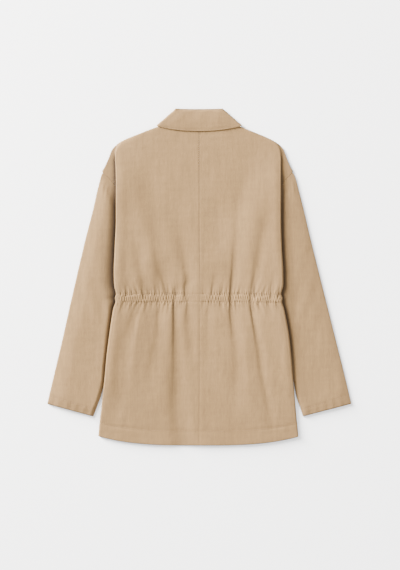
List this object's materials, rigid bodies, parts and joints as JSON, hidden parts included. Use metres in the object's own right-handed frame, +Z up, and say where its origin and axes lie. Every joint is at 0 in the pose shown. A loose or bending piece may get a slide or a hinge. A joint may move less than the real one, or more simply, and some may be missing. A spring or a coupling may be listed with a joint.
{
  "type": "trench coat",
  "caption": "Short trench coat laid flat with its back up: shirt collar, dropped shoulders, long sleeves under the sides, and a gathered waist casing above a flared hem.",
  "frame": {"origin": "centre of the coat's outline, on the surface that it lies on", "axes": "+X to the right as seen from above, +Y from the hem to the collar, +Z up out of the coat's back"},
  "size_m": [0.6854, 0.7571, 0.0111],
  "materials": {
    "back_left_cloth": "matt beige cotton twill",
    "back_right_cloth": "matt beige cotton twill",
    "front_left_cloth": "matt beige cotton twill",
    "front_right_cloth": "matt beige cotton twill",
    "sleeve_left_cloth": "matt beige cotton twill",
    "sleeve_right_cloth": "matt beige cotton twill",
    "collar_fall_cloth": "matt beige cotton twill",
    "collar_stand_cloth": "matt beige cotton twill"
  },
  "bodies": {
    "root": {"back_left": "back_left_cloth", "back_right": "back_right_cloth", "front_left": "front_left_cloth", "front_right": "front_right_cloth", "sleeve_left": "sleeve_left_cloth", "sleeve_right": "sleeve_right_cloth", "collar_fall": "collar_fall_cloth", "collar_stand": "collar_stand_cloth"}
  },
  "joints": []
}
